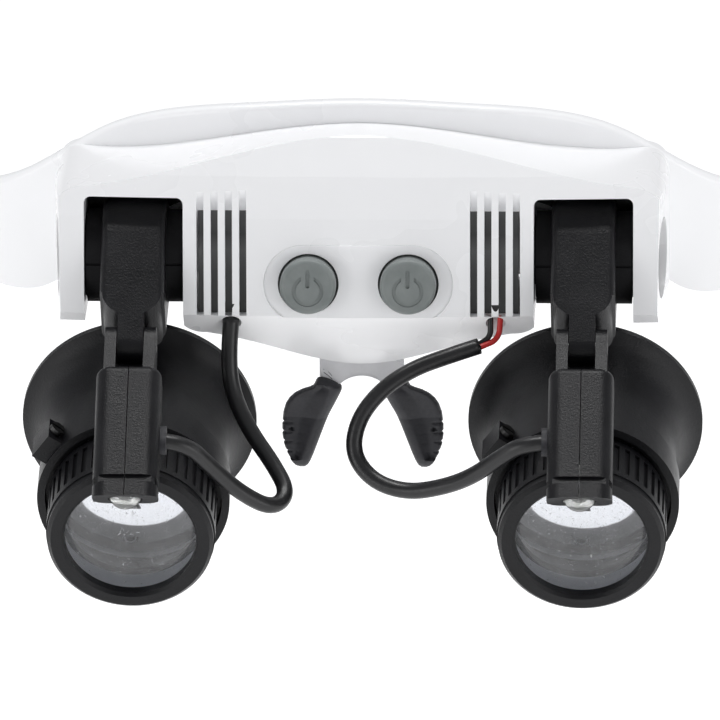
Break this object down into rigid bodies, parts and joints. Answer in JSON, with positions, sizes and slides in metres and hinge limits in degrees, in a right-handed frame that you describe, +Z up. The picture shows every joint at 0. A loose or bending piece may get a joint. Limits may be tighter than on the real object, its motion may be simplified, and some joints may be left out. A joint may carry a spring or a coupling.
{
  "type": "head visor magnifier",
  "caption": "Glasses-type double loupe: white brow housing, two flip-up black loupes with tilting lamps, soft nose pads and folding temples.",
  "frame": {"origin": "middle of the brow's rear face, where the frame rests on the forehead", "axes": "+X to the wearer's left, +Y back towards the wearer's head, +Z up; the loupes look along -Y"},
  "size_m": [0.1386, 0.2067, 0.0694],
  "materials": {
    "white_shell": "gloss white moulded ABS",
    "black_plastic": "satin black moulded nylon, fine spark texture",
    "black_rubber": "soft matt black rubber",
    "button_rubber": "satin grey silicone",
    "bridge_plastic": "milky translucent nylon",
    "lens_glass": "polished optical lens, slightly dusty",
    "led_lens": "clear epoxy lamp dome",
    "steel": "nickel-plated steel",
    "board": "green circuit board with solder mask",
    "lead_jacket": "satin black soft PVC jacket",
    "red_wire": "red PVC insulation"
  },
  "bodies": {
    "frame": {"front_housing": "white_shell", "rear_cover": "white_shell", "cover_screws": "steel", "vent_liner": "black_plastic", "circuit_board": "board", "tactile_switches": "steel", "button_cells": "steel", "battery_contacts": "steel", "nose_bridge": "bridge_plastic", "nose_pad_left": "black_rubber", "nose_pad_right": "black_rubber", "pivot_block_left": "black_plastic", "pivot_block_right": "black_plastic", "hinge_pin_left": "steel", "hinge_pin_right": "steel", "lead_left": "lead_jacket", "lead_right": "lead_jacket", "lead_wire_red": "red_wire", "lead_wire_black": "lead_jacket"},
    "battery_cover": {"battery_door": "white_shell"},
    "button_left": {"power_button_left": "button_rubber"},
    "temple_left": {"temple_left": "white_shell", "temple_tip_left": "black_rubber"},
    "drum_left": {"drum_left": "black_plastic"},
    "carrier_left": {"carrier_left": "black_plastic", "clamp_screw_left": "steel", "eye_cup_left": "black_plastic", "eye_lens_left": "lens_glass", "lamp_pin_left": "steel"},
    "barrel_left": {"lens_barrel_left": "black_plastic", "lens_bezel_left": "black_plastic", "objective_lens_left": "lens_glass"},
    "lamp_left": {"lamp_shell_inner_left": "black_plastic", "lamp_shell_outer_left": "black_plastic", "lamp_led_left": "led_lens", "lead_grommet_left": "black_rubber"},
    "button_right": {"power_button_right": "button_rubber"},
    "temple_right": {"temple_right": "white_shell", "temple_tip_right": "black_rubber"},
    "drum_right": {"drum_right": "black_plastic"},
    "carrier_right": {"carrier_right": "black_plastic", "clamp_screw_right": "steel", "eye_cup_right": "black_plastic", "eye_lens_right": "lens_glass", "lamp_pin_right": "steel"},
    "barrel_right": {"lens_barrel_right": "black_plastic", "lens_bezel_right": "black_plastic", "objective_lens_right": "lens_glass"},
    "lamp_right": {"lamp_shell_inner_right": "black_plastic", "lamp_shell_outer_right": "black_plastic", "lamp_led_right": "led_lens", "lead_grommet_right": "black_rubber"}
  },
  "joints": [
    {"name": "battery_door_pull", "type": "slide", "parent": "frame", "child": "battery_cover", "axis": [0, 1, 0], "range_m": [0, 0.012]},
    {"name": "power_button_left_press", "type": "slide", "parent": "frame", "child": "button_left", "axis": [0, 0.9882, -0.153], "range_m": [0, 0.0005], "stiffness_N_per_m": 400, "springref_m": -0.0005},
    {"name": "temple_left_fold", "type": "hinge", "parent": "frame", "child": "temple_left", "pos_m": [0.0669, 0.0355, -0.023], "axis": [0, 0, 1], "range_deg": [0, 90]},
    {"name": "flip_left", "type": "hinge", "parent": "frame", "child": "drum_left", "pos_m": [0.03285, -0.0055, -0.018], "axis": [-1, 0, 0], "range_deg": [0, 60], "deforming": ["lead_left"]},
    {"name": "eye_width_left", "type": "slide", "parent": "drum_left", "child": "carrier_left", "axis": [1, 0, 0], "range_m": [-0.002, 0.002], "deforming": ["lead_left"]},
    {"name": "barrel_twist_left", "type": "hinge", "parent": "carrier_left", "child": "barrel_left", "pos_m": [0.03285, -0.0015, -0.0447], "axis": [0, -0.9636, -0.2672], "range_deg": [0, 45]},
    {"name": "lamp_tilt_left", "type": "hinge", "parent": "carrier_left", "child": "lamp_left", "pos_m": [0.03285, -0.0216, -0.0264], "axis": [-1, 0, 0], "range_deg": [0, 10], "deforming": ["lead_left"]},
    {"name": "power_button_right_press", "type": "slide", "parent": "frame", "child": "button_right", "axis": [0, 0.9882, -0.153], "range_m": [0, 0.0005], "stiffness_N_per_m": 400, "springref_m": -0.0005},
    {"name": "temple_right_fold", "type": "hinge", "parent": "frame", "child": "temple_right", "pos_m": [-0.0669, 0.0355, -0.023], "axis": [0, 0, -1], "range_deg": [0, 70]},
    {"name": "flip_right", "type": "hinge", "parent": "frame", "child": "drum_right", "pos_m": [-0.03285, -0.0055, -0.018], "axis": [-1, 0, 0], "range_deg": [0, 60], "deforming": ["lead_right"]},
    {"name": "eye_width_right", "type": "slide", "parent": "drum_right", "child": "carrier_right", "axis": [1, 0, 0], "range_m": [-0.002, 0.002], "deforming": ["lead_right"]},
    {"name": "barrel_twist_right", "type": "hinge", "parent": "carrier_right", "child": "barrel_right", "pos_m": [-0.03285, -0.0015, -0.0447], "axis": [0, -0.9636, -0.2672], "range_deg": [0, 45]},
    {"name": "lamp_tilt_right", "type": "hinge", "parent": "carrier_right", "child": "lamp_right", "pos_m": [-0.03285, -0.0216, -0.0264], "axis": [-1, 0, 0], "range_deg": [0, 10], "deforming": ["lead_right"]}
  ]
}
